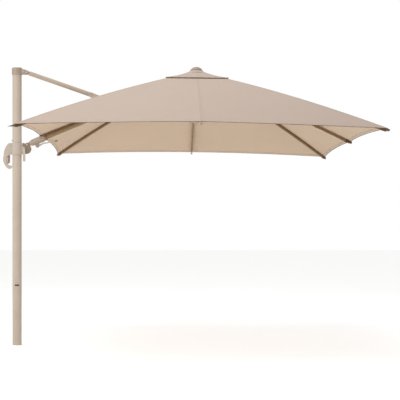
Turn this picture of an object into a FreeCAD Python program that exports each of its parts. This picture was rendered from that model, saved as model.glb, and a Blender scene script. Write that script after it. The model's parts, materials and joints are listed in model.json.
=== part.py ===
import FreeCAD, Part
import math
import os

# Cantilever parasol with a square canopy, in millimetres.
# +Z is up, +X points from the mast to the canopy, the origin is the middle of the mast's lower end.

V = FreeCAD.Vector
UP = V(0, 0, 1)
ACROSS = V(0, 1, 0)
NODES = {}

# ---- driving dimensions ----
MAST_HALF_X, MAST_HALF_Y = 44.0, 30.0  # oval section of the mast
MAST_WALL = 3.0
MAST_HEIGHT = 2600.0
FOOT_BORE_R, FOOT_DEPTH = 24.1, 200.0  # socket for the spigot of a base
HINGE_X = 98.0  # the strut's top hinge and the boom's hinge are one above the other
STRUT_TOP = V(HINGE_X, 0, 2620)
BOOM_FOOT = V(HINGE_X, 0, 1925)
STRUT_JOINT = V(1040, 0, 2272.5)  # where the strut carries the boom, midway in height
BOOM_SLOPE = 0.41  # rise of the boom per unit of run
STRUT_SLOPE = 0.348  # fall of the strut per unit of run
BOOM_R, BOOM_WALL = 22.0, 2.5
RUNNING = 0.06  # radial clearance of a turning fit
CROWN_X = 1724.0  # the canopy's own axis
CROWN_HINGE_X = CROWN_X - 45
HALF_SIDE = 1500.0  # half the side of the square canopy
APEX_Z = 2630.0  # where the canopy's lines would meet
CORNER_TIP_Z, MIDDLE_TIP_Z = 1944.0, 1981.0
CORNER_BOW, MIDDLE_BOW = 31.0, 18.0  # how far the ribs bend up from straight
CANOPY_TILT = 0.7  # degrees that the hung canopy leans down to its outer side
COVER_SLOPE, COVER_TIP_Z = 0.40, 2019.3  # the cloth over the boom, and its edge by the mast
VENT_HOLE = 180.0  # radius of the opening at the top of the main canopy
CLOTH = 1.5
HEM_SCALLOP = 30.0
SLOT_FROM, SLOT_TO, SLOT_HALF = 905.0, 1390.0, 50.0  # where the strut passes the cloth
VENT_HALF, VENT_EDGE_Z, VENT_TOP_Z, VENT_COLLAR = 295.0, 2534.0, 2636.0, 52.0
VENT_CLOTH = 2.0
HUB_TOP, HUB_BOTTOM = 2620.0, 2528.0
FINIAL_Z = 2637.0
RIB_WIDTH, RIB_HEIGHT, RIB_WALL = 16.0, 26.0, 2.0
RIB_DROP = 20.0  # from the cloth's upper face down to a rib's centre line
PIVOT_RING = 65.0  # radius of the rib hinges on the hub and of the stretcher hinges on the runner
STRETCHER_ARM = 558.0  # hub hinge to stretcher hinge, and stretcher hinge to runner hinge
ARM_ANGLE = 21.0  # degrees that the arm line hangs below level when the canopy is open
EYE_R, PIN_R = 11.0, 4.0
HUB_PLATE = 5.0
CORNERS, MIDDLES = (45, 135, 225, 315), (0, 90, 270)
SIDE_NAMES = {
    0: "right", 45: "back_right", 90: "back", 135: "back_left",
    225: "front_left", 270: "front", 315: "front_right",
}


# ---- plain shapes ----
def box(x0, x1, y0, y1, z0, z1):
    return Part.makeBox(x1 - x0, y1 - y0, z1 - z0, V(x0, y0, z0))


def rod(start, direction, radius, length):
    return Part.makeCylinder(radius, length, start, direction)


def rod_across(x, z, radius, y0, y1):
    return rod(V(x, y0, z), ACROSS, radius, y1 - y0)


def oval(half_x, half_y, z0, z1):
    """An upright prism on an ellipse."""
    ellipse = Part.Ellipse(V(0, 0, z0), half_x, half_y).toShape()
    return Part.Face(Part.Wire(ellipse)).extrude(V(0, 0, z1 - z0))


def plate(points, y0, y1):
    """A flat plate: an outline of (x, z) points, from y0 to y1."""
    corners = [V(x, y0, z) for x, z in points]
    return Part.Face(Part.makePolygon(corners + corners[:1])).extrude(V(0, y1 - y0, 0))


def outline_plate(edges, y0, y1):
    """A flat plate whose outline is lines (2 points) and arcs (3 points), each an (x, z) pair."""
    made = []
    for edge in edges:
        points = [V(x, y0, z) for x, z in edge]
        if len(points) == 2:
            made.append(Part.makeLine(*points))
        else:
            made.append(Part.Arc(*points).toShape())
    return Part.Face(Part.Wire(made)).extrude(V(0, y1 - y0, 0))


def link_plate(a, radius_a, b, radius_b, y0, y1):
    """A flat link with round ends, tangent to both."""
    along = V(b.x - a.x, 0, b.z - a.z)
    length = along.Length
    along.normalize()
    turn = math.acos((radius_a - radius_b) / length)
    sides = []
    for sign in (1, -1):
        angle = math.atan2(along.z, along.x) + sign * turn
        sides.append(V(math.cos(angle), 0, math.sin(angle)))
    corners = [
        a + sides[0] * radius_a, b + sides[0] * radius_b,
        b + sides[1] * radius_b, a + sides[1] * radius_a,
    ]
    body = plate([(p.x, p.z) for p in corners], y0, y1)
    ends = [rod_across(a.x, a.z, radius_a, y0, y1), rod_across(b.x, b.z, radius_b, y0, y1)]
    return fused([body] + ends)


def fused(shapes):
    result = shapes[0]
    if len(shapes) > 1:
        result = result.fuse(shapes[1:])
    return result.removeSplitter()


def save(name, *shapes):
    """Keeps one sub-part: a solid, or a group of separate solids."""
    NODES[name] = shapes[0] if len(shapes) == 1 else Part.makeCompound(list(shapes))


def along_line(start, direction, distance, side=0.0):
    """A point at a distance along a line in the XZ plane, and to its upper side."""
    upper = V(-direction.z, 0, direction.x)
    if upper.z < 0:
        upper = upper * -1
    return start + direction * distance + upper * side


def revolved(profile, start, direction):
    """A turned piece: (distance, radius) points about the line from start along direction."""
    points = [V(r, 0, d) for d, r in profile]
    points = [V(0, 0, profile[0][0])] + points + [V(0, 0, profile[-1][0])]
    face = Part.Face(Part.makePolygon(points + points[:1]))
    solid = face.revolve(V(0, 0, 0), UP, 360)
    solid.Placement = FreeCAD.Placement(start, FreeCAD.Rotation(UP, direction))
    return solid


# ---- the lines that everything follows ----
BOOM_WAY = V(1, 0, BOOM_SLOPE).normalize()
STRUT_WAY = V(1, 0, -STRUT_SLOPE).normalize()
COVER_TIP_X = CROWN_X - HALF_SIDE
CROWN_HINGE = V(CROWN_HINGE_X, 0, BOOM_FOOT.z + BOOM_SLOPE * (CROWN_HINGE_X - HINGE_X))
BOOM_LENGTH = (CROWN_HINGE - BOOM_FOOT).Length
COLLAR_AT = (STRUT_JOINT - BOOM_FOOT).dot(BOOM_WAY)
STRUT_JOINT_AT = (STRUT_JOINT - STRUT_TOP).dot(STRUT_WAY)


class RibLine:
    """The curve of the cloth over one rib: an arc in the upright plane through the crown's axis."""

    def __init__(self, reach, tip_z, bow):
        self.reach = reach
        first, last = (0.0, APEX_Z), (reach, tip_z)
        chord = math.hypot(reach, APEX_Z - tip_z)
        self.radius = chord * chord / (8 * bow) + bow / 2
        slope = math.atan2(APEX_Z - tip_z, reach)
        middle = ((first[0] + last[0]) / 2, (first[1] + last[1]) / 2)
        back = self.radius - bow
        self.centre = (middle[0] - back * math.sin(slope), middle[1] - back * math.cos(slope))

    def z(self, r, drop=0.0):
        radius = self.radius - drop
        return self.centre[1] + math.sqrt(radius * radius - (r - self.centre[0]) ** 2)

    def arc(self, r0, r1, drop=0.0):
        return [(r, self.z(r, drop)) for r in (r0, (r0 + r1) / 2, r1)]

    def strip(self, r0, r1, top, bottom, width):
        """A bar that follows the curve, between two depths below the cloth."""
        upper, lower = self.arc(r0, r1, top), self.arc(r1, r0, bottom)
        edges = [upper, (upper[2], lower[0]), lower, (lower[2], upper[0])]
        return outline_plate(edges, -width / 2, width / 2)


CORNER_LINE = RibLine(HALF_SIDE * math.sqrt(2), CORNER_TIP_Z, CORNER_BOW)
MIDDLE_LINE = RibLine(HALF_SIDE, MIDDLE_TIP_Z, MIDDLE_BOW)
ARM_RUN = STRETCHER_ARM * math.cos(math.radians(ARM_ANGLE))
ARM_FALL = STRETCHER_ARM * math.sin(math.radians(ARM_ANGLE))
LUG_R = PIVOT_RING + ARM_RUN
CORNER_PIVOT_Z = CORNER_LINE.z(PIVOT_RING, RIB_DROP) + 14
MIDDLE_PIVOT_Z = MIDDLE_LINE.z(LUG_R, RIB_DROP) - 8 + ARM_FALL


def rib_line(azimuth):
    return CORNER_LINE if azimuth in CORNERS else MIDDLE_LINE


def hub_pivot_z(azimuth):
    return CORNER_PIVOT_Z if azimuth in CORNERS else MIDDLE_PIVOT_Z


def turned_about_z(shape, azimuth):
    turned = shape.copy()
    turned.rotate(V(0, 0, 0), UP, azimuth)
    return turned


def about_crown(shape, azimuth):
    """Turns a piece made in the plane of +X to its azimuth about the crown's axis."""
    placed = turned_about_z(shape, azimuth)
    placed.translate(V(CROWN_X, 0, 0))
    return placed


# ---- mast ----
def make_mast():
    outer = oval(MAST_HALF_X, MAST_HALF_Y, 0, MAST_HEIGHT)
    inner_x, inner_y = MAST_HALF_X - MAST_WALL, MAST_HALF_Y - MAST_WALL
    save("mast_tube", outer.cut(oval(inner_x, inner_y, -1, MAST_HEIGHT + 1)))

    foot = oval(inner_x, inner_y, 0, FOOT_DEPTH)
    save("mast_foot", foot.cut(rod(V(0, 0, -1), UP, FOOT_BORE_R, FOOT_DEPTH + 2)))

    cheek_y0, cheek_y1, eye = 12.0, 20.0, 18.0
    cap = oval(50, 36, MAST_HEIGHT, 2668)
    cap = cap.makeFillet(14, [e for e in cap.Edges if e.BoundBox.ZMin > 2667])
    web = plate([(30, 2602), (74, 2605), (74, 2645), (30, 2660)], -cheek_y1, cheek_y1)
    cheeks = []
    for y0, y1 in ((-cheek_y1, -cheek_y0), (cheek_y0, cheek_y1)):
        cheeks.append(link_plate(V(66, 0, 2626), 23, STRUT_TOP, eye, y0, y1))
    head = fused([cap, web] + cheeks)
    head = head.cut(rod_across(STRUT_TOP.x, STRUT_TOP.z, eye + 3.5, -11.9, 11.9))
    head = head.cut(rod_across(STRUT_TOP.x, STRUT_TOP.z, 6 + RUNNING, -30, 30))
    save("mast_head", head)

    pin = rod_across(STRUT_TOP.x, STRUT_TOP.z, 6, -22, 22)
    heads = [rod_across(STRUT_TOP.x, STRUT_TOP.z, 9, y, y + 3) for y in (-23.2, 20.2)]
    save("strut_top_pin", fused([pin] + heads))

    badge = oval(MAST_HALF_X + 1.2, MAST_HALF_Y + 1.2, 570, 584)
    badge = badge.cut(oval(MAST_HALF_X, MAST_HALF_Y, 560, 600))
    save("blank_badge", badge.common(box(-17, 24, -60, 0, 560, 600)))

    stop = rod(V(-MAST_HALF_X + 2, 0, 1968), V(-1, 0, 0), 8, 8).cut(outer)
    screw = rod_across(61, 2627, 7, -23.5, -20)
    save("mast_fasteners", stop, screw)


# ---- strut ----
def make_strut():
    tube_r, fork_y0, fork_y1 = 21.0, 26.0, 34.0
    tube_start, tube_end = 24.0, STRUT_JOINT_AT - 372  # the fork clears the boom when closed
    start = along_line(STRUT_TOP, STRUT_WAY, tube_start)
    tube = rod(start, STRUT_WAY, tube_r, tube_end - tube_start)
    save("strut_tube", tube.cut(rod(start, STRUT_WAY, tube_r - 2, tube_end)))

    eye_r, tongue_half = 15.0, 11.7
    tongue = link_plate(STRUT_TOP, eye_r, start, eye_r, -tongue_half, tongue_half)
    tongue = tongue.cut(rod(start, STRUT_WAY, 60, 60))
    plug = rod(start, STRUT_WAY, tube_r - 2, 30)
    knuckle = fused([tongue, plug])
    save("strut_knuckle", knuckle.cut(rod_across(STRUT_TOP.x, STRUT_TOP.z, 6 + RUNNING, -30, 30)))

    bar_half, yoke_long, boom_side = 20.0, 34.0, 15.0
    yoke_centre = along_line(STRUT_TOP, STRUT_WAY, tube_end + yoke_long / 2)
    outline = ((0, -bar_half), (yoke_long, -bar_half), (yoke_long, boom_side), (0, bar_half))
    corners = [along_line(STRUT_TOP, STRUT_WAY, tube_end + a, side) for a, side in outline]
    yoke = plate([(p.x, p.z) for p in corners], -fork_y0, fork_y0)
    socket = rod(along_line(STRUT_TOP, STRUT_WAY, tube_end - 40), STRUT_WAY, tube_r - 2, 40)
    save("strut_yoke", fused([yoke, socket]))

    bars = []
    for y0, y1 in ((-fork_y1, -fork_y0), (fork_y0, fork_y1)):
        bar = link_plate(yoke_centre, bar_half, STRUT_JOINT, bar_half, y0, y1)
        bars.append(bar.cut(rod_across(STRUT_JOINT.x, STRUT_JOINT.z, 6 + RUNNING, -60, 60)))
    save("strut_fork_bars", *bars)
    screws = []
    for shift in (-9, 9):
        at = along_line(yoke_centre, STRUT_WAY, shift)
        for y0, y1 in ((-fork_y1 - 3, -fork_y1), (fork_y1, fork_y1 + 3)):
            screws.append(rod_across(at.x, at.z, 6, y0, y1))
    save("strut_fork_screws", *screws)


# ---- the knuckle and collar that carry the boom ----
def make_boom_carrier():
    bore = rod(along_line(BOOM_FOOT, BOOM_WAY, 58), BOOM_WAY, BOOM_R + RUNNING, 200)
    profile = [(30, 20), (42, 27), (62, 31), (120, 32), (178, 31), (182, 28.5), (186, 28.5)]
    shell = revolved(profile, BOOM_FOOT, BOOM_WAY)
    tongue_end = along_line(BOOM_FOOT, BOOM_WAY, 40)
    tongue = link_plate(BOOM_FOOT, 17, tongue_end, 16, -11, 11)
    lever_pivot = V(194, 0, 1909)
    lug_top = along_line(BOOM_FOOT, BOOM_WAY, 92, -20)
    lugs = [link_plate(lug_top, 22, lever_pivot, 12, y0, y1) for y0, y1 in ((-11, -5.4), (5.4, 11))]
    stop_top = along_line(BOOM_FOOT, BOOM_WAY, 158, -28)
    stop = link_plate(stop_top, 6, V(243, 0, 1953), 5, -4, 4)
    sleeve = fused([shell, tongue] + lugs + [stop])
    sleeve = sleeve.cut(bore)
    sleeve = sleeve.cut(rod_across(BOOM_FOOT.x, BOOM_FOOT.z, 7 + RUNNING, -30, 30))
    save("boom_sleeve", sleeve.cut(rod_across(lever_pivot.x, lever_pivot.z, PIN_R, -30, 30)))

    strap_start = along_line(BOOM_FOOT, BOOM_WAY, 186)
    strap = rod(strap_start, BOOM_WAY, 31, 11).cut(rod(strap_start, BOOM_WAY, BOOM_R + 0.6, 11))
    save("sleeve_end_ring", strap)

    half = 33.0
    low = along_line(BOOM_FOOT, BOOM_WAY, COLLAR_AT - half)
    corners = []
    for a, side in ((-half, -50), (half, -50), (half, 29), (-half, 29)):
        corners.append(along_line(BOOM_FOOT, BOOM_WAY, COLLAR_AT + a, side))
    collar = plate([(p.x, p.z) for p in corners], -25, 25)
    upright = [e for e in collar.Edges if abs(e.tangentAt(e.FirstParameter).y) > 0.99]
    collar = collar.makeFillet(12, upright)
    collar = collar.cut(rod(along_line(low, BOOM_WAY, -10), BOOM_WAY, BOOM_R + RUNNING, 100))
    collar = collar.cut(rod_across(STRUT_JOINT.x, STRUT_JOINT.z, 6, -60, 60))
    save("strut_collar", collar)
    pin = rod_across(STRUT_JOINT.x, STRUT_JOINT.z, 6, -37, 37)
    heads = [rod_across(STRUT_JOINT.x, STRUT_JOINT.z, 10, y, y + 3) for y in (-37.3, 34.3)]
    lever_pin = rod_across(lever_pivot.x, lever_pivot.z, PIN_R, -12.5, 12.5)
    save("carrier_pins", fused([pin] + heads), lever_pin)
    return lever_pivot


def make_tilt_lever(pivot):
    knee, end = V(250, 0, 1938), V(372, 0, 1961)
    arm = link_plate(pivot, 11, knee, 6, -5, 5)
    handle = link_plate(knee, 6, end, 5, -5, 5)
    lever = fused([arm, handle])
    save("tilt_lever", lever.cut(rod_across(pivot.x, pivot.z, PIN_R + RUNNING, -20, 20)))
    way = (end - knee).normalize()
    knob_profile = [(0, 5.5), (4, 8), (12, 9), (20, 8), (24, 5)]
    knob = revolved(knob_profile, end - way * 6, way)
    save("tilt_lever_knob", knob.cut(lever))


# ---- slider on the mast ----
def make_slider():
    low, high, gap = 1833.0, 1943.0, 0.5
    liner_x, liner_y = MAST_HALF_X + gap, MAST_HALF_Y + gap
    shell_x, shell_y = liner_x + 2.5, liner_y + 2.5
    flange_y, left, right = 20.0, -62.0, 60.0
    inner = oval(shell_x, shell_y, low - 1, high + 1)
    body = oval(shell_x + 6, shell_y + 6, low, high)
    body = fused([body, box(left, 0, -flange_y, flange_y, low, high),
                  box(0, right, -flange_y, flange_y, low, high)])
    body = body.cut(inner)
    bolt_places = [(-54, 1921), (-54, 1848), (52, 1921), (52, 1848)]
    for x, z in bolt_places:
        body = body.cut([rod_across(x, z, 4, -60, 60), rod_across(x, z, 7, -60, -flange_y)])
        body = body.cut(rod_across(x, z, 7, flange_y, 60))
    save("slider_front_shell", body.common(box(-200, 200, -100, 0, low, high)))
    save("slider_rear_shell", body.common(box(-200, 200, 0, 100, low, high)))

    liners = []
    for z0, z1 in ((low, low + 24), (high - 24, high)):
        liner = oval(shell_x, shell_y, z0, z1)
        liners.append(liner.cut(oval(liner_x, liner_y, z0 - 1, z1 + 1)))
    save("slider_glides", *liners)

    bolts = []
    for x, z in bolt_places:
        head = rod_across(x, z, 7, -flange_y - 3.5, -flange_y)
        nut = rod_across(x, z, 7, flange_y, flange_y + 3.5)
        bolts.append(fused([head, nut, rod_across(x, z, 4, -flange_y, flange_y)]))
    save("slider_bolts", *bolts)

    cheek_y0, cheek_y1 = 11.4, 18.0
    pieces = [box(right, right + 12, -cheek_y1, cheek_y1, low + 2, high - 2)]
    for y0, y1 in ((-cheek_y1, -cheek_y0), (cheek_y0, cheek_y1)):
        cheek = rod_across(88, 1886, 47, y0, y1)
        cheek = fused([cheek, rod_across(BOOM_FOOT.x, BOOM_FOOT.z, 19, y0, y1),
                       box(right, 88, y0, y1, 1839, 1933)])
        pieces.append(cheek.common(box(right, 200, -60, 60, low, 1960)))
    web = rod_across(88, 1878, 14, -cheek_y1, cheek_y1)
    bracket = fused(pieces + [web])
    bracket = bracket.cut(rod_across(BOOM_FOOT.x, BOOM_FOOT.z, 22, -11.2, 11.2))
    bracket = bracket.cut(rod_across(BOOM_FOOT.x, BOOM_FOOT.z, 7 + RUNNING, -60, 60))
    save("slider_bracket", bracket.cut(rod_across(70, 1893, 5, -60, 60)))

    pin = rod_across(BOOM_FOOT.x, BOOM_FOOT.z, 7, -20, 20)
    heads = [rod_across(BOOM_FOOT.x, BOOM_FOOT.z, 10, y, y + 3) for y in (-21.4, 18.4)]
    trigger_pivot = V(-89, 0, 1842)
    trigger_pin = rod_across(trigger_pivot.x, trigger_pivot.z, 3, -8.5, 8.5)
    save("slider_pins", fused([pin] + heads), trigger_pin)

    grip = outline_plate([
        ((left, 1940), (-78, 1940)),
        ((-78, 1940), (-112, 1893), (-126, 1825)),
        ((-126, 1825), (-118, 1735), (-86, 1697)),
        ((-86, 1697), (-58, 1700), (-50, 1722)),
        ((-50, 1722), (-70, 1729)),
        ((-70, 1729), (-89, 1738), (-96, 1768)),
        ((-96, 1768), (-97, 1794)),
        ((-97, 1794), (-92, 1814), (-78, 1824)),
        ((-78, 1824), (left, 1834)),
        ((left, 1834), (left, 1940)),
    ], -16, 16)
    channel = box(-113, -66, -8.5, 8.5, 1742, 1868)
    save("slider_grip", grip.cut(channel))

    trigger = outline_plate([
        ((-100, 1850), (-78, 1850)),
        ((-78, 1850), (-70, 1830), (-69, 1790)),
        ((-69, 1790), (-70, 1762), (-76, 1746)),
        ((-76, 1746), (-92, 1746)),
        ((-92, 1746), (-90, 1800), (-100, 1850)),
    ], -7.8, 7.8)
    save("grip_trigger", trigger.cut(rod_across(trigger_pivot.x, trigger_pivot.z, 3.06, -20, 20)))

    hub = V(70, 0, 1893)
    arm = link_plate(hub, 13, V(73, 0, 1772), 11, -33, -24)
    save("clamp_lever", arm.cut(rod_across(hub.x, hub.z, 5 + RUNNING, -60, 0)))
    spindle = rod_across(hub.x, hub.z, 5, -34, 18)
    washer = rod_across(hub.x, hub.z, 9.8, -23.6, -18)
    save("clamp_spindle", fused([spindle, washer, rod_across(hub.x, hub.z, 8, -37, -33.4)]))
    return trigger_pivot, hub


# ---- boom ----
def make_boom():
    tube_start, tube_end = 62.0, BOOM_LENGTH - 72
    start = along_line(BOOM_FOOT, BOOM_WAY, tube_start)
    solid = rod(start, BOOM_WAY, BOOM_R, tube_end - tube_start)
    hollow = rod(start, BOOM_WAY, BOOM_R - BOOM_WALL, tube_end)
    save("boom_tube", solid.cut(hollow))

    head_start = along_line(BOOM_FOOT, BOOM_WAY, tube_end - 40)
    socket = rod(head_start, BOOM_WAY, BOOM_R - BOOM_WALL, 40)
    shoulder = revolved([(0, 22), (6, 22), (14, 15)],
                        along_line(BOOM_FOOT, BOOM_WAY, tube_end), BOOM_WAY)
    tongue = link_plate(CROWN_HINGE, 14, along_line(CROWN_HINGE, BOOM_WAY, -66), 13, -12, 12)
    head = fused([socket, shoulder, tongue.common(
        rod(along_line(BOOM_FOOT, BOOM_WAY, tube_end), BOOM_WAY, 60, 200))])
    save("boom_head", head.cut(rod_across(CROWN_HINGE.x, CROWN_HINGE.z, 6 + RUNNING, -30, 30)))

    first, last, under = 218.0, 960.0, 6.5
    top = [(x, COVER_TIP_Z + COVER_SLOPE * (x - COVER_TIP_X) - under) for x in (first, last)]
    axis_z = [BOOM_FOOT.z + BOOM_SLOPE * (x - HINGE_X) for x in (last, first)]
    rail = plate(top + [(last, axis_z[0]), (first, axis_z[1])], -7, 7)
    rail = fused([rail, rod_across(first + 4, top[0][1] - 1.5, 6, -9, 9)])
    rail = rail.cut(rod(BOOM_FOOT, BOOM_WAY, BOOM_R, BOOM_LENGTH))
    save("boom_rail", rail.cut(rod(BOOM_FOOT, BOOM_WAY, 33, 200)))


# ---- crown ----
def make_crown():
    bottom = HUB_BOTTOM
    core = fused([rod(V(0, 0, bottom), UP, 50, HUB_TOP - bottom),
                  rod(V(0, 0, HUB_TOP), UP, 16, FINIAL_Z - HUB_TOP)])
    slot_half = RIB_WIDTH / 2 + 0.4
    reach_y = slot_half + HUB_PLATE
    ears, cuts, pins = [], [], []
    for azimuth in CORNERS + MIDDLES:
        pivot_z = hub_pivot_z(azimuth)
        for y0 in (slot_half, -reach_y):
            ear = fused([box(30, PIVOT_RING, y0, y0 + HUB_PLATE, pivot_z - 13, pivot_z + 13),
                         rod_across(PIVOT_RING, pivot_z, 13, y0, y0 + HUB_PLATE)])
            ears.append(turned_about_z(ear, azimuth))
        slot = box(PIVOT_RING - EYE_R - 3, PIVOT_RING + 20, -slot_half, slot_half,
                   pivot_z - 17, pivot_z + 17)
        hole = rod_across(PIVOT_RING, pivot_z, PIN_R, -reach_y - 1, reach_y + 1)
        cuts += [turned_about_z(slot, azimuth), turned_about_z(hole, azimuth)]
        if azimuth in CORNERS:
            notch = box(36, PIVOT_RING + 20, -slot_half, slot_half, bottom - 1, pivot_z)
            cuts.append(turned_about_z(notch, azimuth))
        pins.append(about_crown(rod_across(PIVOT_RING, pivot_z, PIN_R, -reach_y, reach_y), azimuth))
    hinge_z = CROWN_HINGE.z
    cuts.append(box(-80, -26, -12.5, 12.5, bottom - 1, hinge_z + 18))
    cuts.append(rod_across(-45, hinge_z, 6, -60, 60))
    hub = core.fuse(ears).cut(cuts)
    hub.translate(V(CROWN_X, 0, 0))
    save("crown_hub", hub)
    save("hub_pins", *pins)
    save("crown_hinge_pin", rod_across(CROWN_HINGE.x, hinge_z, 6, -21, 21))

    finial = revolved([(0, 58), (5, 60), (11, 55), (23, 44), (35, 30), (42, 18), (46, 6)],
                      V(CROWN_X, 0, FINIAL_Z), UP)
    save("finial", finial)


# ---- ribs, stretchers and runner ----
def make_ribs():
    top, bottom = RIB_DROP - RIB_HEIGHT / 2, RIB_DROP + RIB_HEIGHT / 2
    start = PIVOT_RING + 32
    half = RIB_WIDTH / 2
    for azimuth in CORNERS + MIDDLES:
        line, pivot_z = rib_line(azimuth), hub_pivot_z(azimuth)
        end = line.reach - 22
        lug_z = pivot_z - ARM_FALL
        bar = line.strip(start, end, top, bottom, RIB_WIDTH)
        hollow = line.strip(start - 1, end + 1, top + RIB_WALL, bottom - RIB_WALL,
                            RIB_WIDTH - 2 * RIB_WALL)
        bar = bar.cut(hollow)
        inner = plate([
            (PIVOT_RING, pivot_z + EYE_R), (start, line.z(start, top)),
            (start, line.z(start, bottom)), (PIVOT_RING, pivot_z - EYE_R),
        ], -half, half)
        inner = fused([inner, rod_across(PIVOT_RING, pivot_z, EYE_R, -half, half)])
        inner = inner.cut(rod_across(PIVOT_RING, pivot_z, PIN_R + RUNNING, -30, 30))
        tip = line.strip(end, line.reach + 4, top - 1, bottom - 8, RIB_WIDTH)
        tip = tip.makeFillet(3, [e for e in tip.Edges if e.BoundBox.XMin > end + 1])
        fittings = [inner, tip]
        if azimuth in CORNERS:
            root = [(r, line.z(r, bottom)) for r in (LUG_R - 34, LUG_R + 34)]
            lug = plate(root + [(LUG_R + 10, lug_z - 6), (LUG_R - 10, lug_z - 6)], -half, half)
            lug = fused([lug, rod_across(LUG_R, lug_z, 10, -half, half)])
            lug = lug.cut(line.strip(LUG_R - 60, LUG_R + 60, top, bottom, RIB_WIDTH + 2))
            fittings.append(lug.cut(rod_across(LUG_R, lug_z, PIN_R, -30, 30)))
        else:
            bar = bar.cut(rod_across(LUG_R, lug_z, PIN_R, -30, 30))
        fittings.append(rod_across(LUG_R, lug_z, PIN_R, -half - 5.5, half + 5.5))
        name = SIDE_NAMES[azimuth]
        save("rib_" + name, about_crown(bar, azimuth))
        save("rib_fittings_" + name, *[about_crown(f, azimuth) for f in fittings])


def make_stretchers():
    cheek_in, cheek_out = RIB_WIDTH / 2 + 0.6, RIB_WIDTH / 2 + 4.6
    for azimuth in CORNERS + MIDDLES:
        upper = V(LUG_R, 0, hub_pivot_z(azimuth) - ARM_FALL)
        lower = V(PIVOT_RING, 0, hub_pivot_z(azimuth) - 2 * ARM_FALL)
        way = (upper - lower).normalize()
        fork_root = upper - way * 80
        cheeks = []
        for y0, y1 in ((-cheek_out, -cheek_in), (cheek_in, cheek_out)):
            cheeks.append(link_plate(upper, 9, fork_root, 8, y0, y1))
        joiner = link_plate(fork_root, 8, fork_root - way * 24, 8, -cheek_out, cheek_out)
        bar = link_plate(fork_root - way * 20, 7, lower, 9, -6, 6)
        arm = fused([joiner, bar] + cheeks)
        arm = arm.cut(rod_across(upper.x, upper.z, PIN_R + RUNNING, -30, 30))
        arm = arm.cut(rod_across(lower.x, lower.z, PIN_R + RUNNING, -30, 30))
        save("stretcher_" + SIDE_NAMES[azimuth], about_crown(arm, azimuth))


def make_runner():
    corner_z = CORNER_PIVOT_Z - 2 * ARM_FALL
    middle_z = MIDDLE_PIVOT_Z - 2 * ARM_FALL
    bottom, top = middle_z - 27, corner_z + 14
    core = fused([rod(V(0, 0, bottom + 8), UP, 48, top - bottom - 8),
                  Part.makeCone(40, 46, 8, V(0, 0, bottom))])
    ear_half, ear_wall = 6.4, 4.0
    reach_y = ear_half + ear_wall
    ears, cuts, pins = [], [rod(V(0, 0, bottom + 14), UP, 34, 200)], []
    for azimuth in CORNERS + MIDDLES:
        pivot_z = hub_pivot_z(azimuth) - 2 * ARM_FALL
        for y0 in (ear_half, -reach_y):
            ear = fused([box(42, PIVOT_RING, y0, y0 + ear_wall, pivot_z - 12, pivot_z + 12),
                         rod_across(PIVOT_RING, pivot_z, 12, y0, y0 + ear_wall)])
            ears.append(turned_about_z(ear, azimuth))
        hole = rod_across(PIVOT_RING, pivot_z, PIN_R, -reach_y - 1, reach_y + 1)
        cuts.append(turned_about_z(hole, azimuth))
        pins.append(about_crown(rod_across(PIVOT_RING, pivot_z, PIN_R, -reach_y, reach_y), azimuth))
    runner = core.fuse(ears).cut(cuts)
    runner.translate(V(CROWN_X, 0, 0))
    save("runner", runner)
    save("runner_pins", *pins)


# ---- canopy ----
def over_boom(r):
    """Height of the cloth over the boom at a radius from the crown's axis, before the tilt."""
    lean = math.atan(COVER_SLOPE)
    above_hinge = COVER_TIP_Z + COVER_SLOPE * (CROWN_HINGE_X - COVER_TIP_X) - CROWN_HINGE.z
    steeper = lean + math.radians(CANOPY_TILT)
    above_hinge *= math.cos(lean) / math.cos(steeper)
    return CROWN_HINGE.z + above_hinge + math.tan(steeper) * (CROWN_X - r - CROWN_HINGE_X)


def rib_curve(azimuth, start):
    """The cloth's line over one rib, as an edge in place."""
    if azimuth == 180:
        edge = Part.makeLine(V(start, 0, over_boom(start)), V(HALF_SIDE, 0, over_boom(HALF_SIDE)))
    else:
        line = rib_line(azimuth)
        edge = Part.Arc(*[V(r, 0, z) for r, z in line.arc(start, line.reach)]).toShape()
    return about_crown(edge, azimuth)


def hem_outline():
    """The canopy's plan: tips on the ribs, and the hem drawn in between them."""
    tips = []
    for azimuth in range(0, 360, 45):
        reach = HALF_SIDE if azimuth % 90 == 0 else HALF_SIDE * math.sqrt(2)
        angle = math.radians(azimuth)
        tips.append(V(CROWN_X + reach * math.cos(angle), reach * math.sin(angle), 0))
    edges = []
    for first, last in zip(tips, tips[1:] + tips[:1]):
        middle = (first + last) * 0.5
        towards = V(CROWN_X, 0, 0) - middle
        if abs(towards.x) > abs(towards.y):
            inward = V(math.copysign(1, towards.x), 0, 0)
        else:
            inward = V(0, math.copysign(1, towards.y), 0)
        edges.append(Part.Arc(first, middle + inward * HEM_SCALLOP, last).toShape())
    return Part.Face(Part.Wire(edges))


def make_canopy():
    panels = []
    for azimuth in range(0, 360, 45):
        first = rib_curve(azimuth, VENT_HOLE)
        second = rib_curve((azimuth + 45) % 360, VENT_HOLE)
        face = Part.makeRuledSurface(first, second)
        panels.append(face.extrude(V(0, 0, -CLOTH)))
    cloth = panels[0].fuse(panels[1:])
    outline = hem_outline()
    cloth = cloth.common(outline.extrude(V(0, 0, APEX_Z)))
    low, high = CORNER_TIP_Z - 100, APEX_Z + 100
    slot = box(SLOT_FROM, SLOT_TO, -SLOT_HALF, SLOT_HALF, low, high)
    for x in (SLOT_FROM, SLOT_TO):
        slot = slot.fuse(rod(V(x, 0, low), UP, SLOT_HALF, high - low))
    cloth = cloth.cut(slot)
    save("canopy", cloth.removeSplitter())


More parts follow.
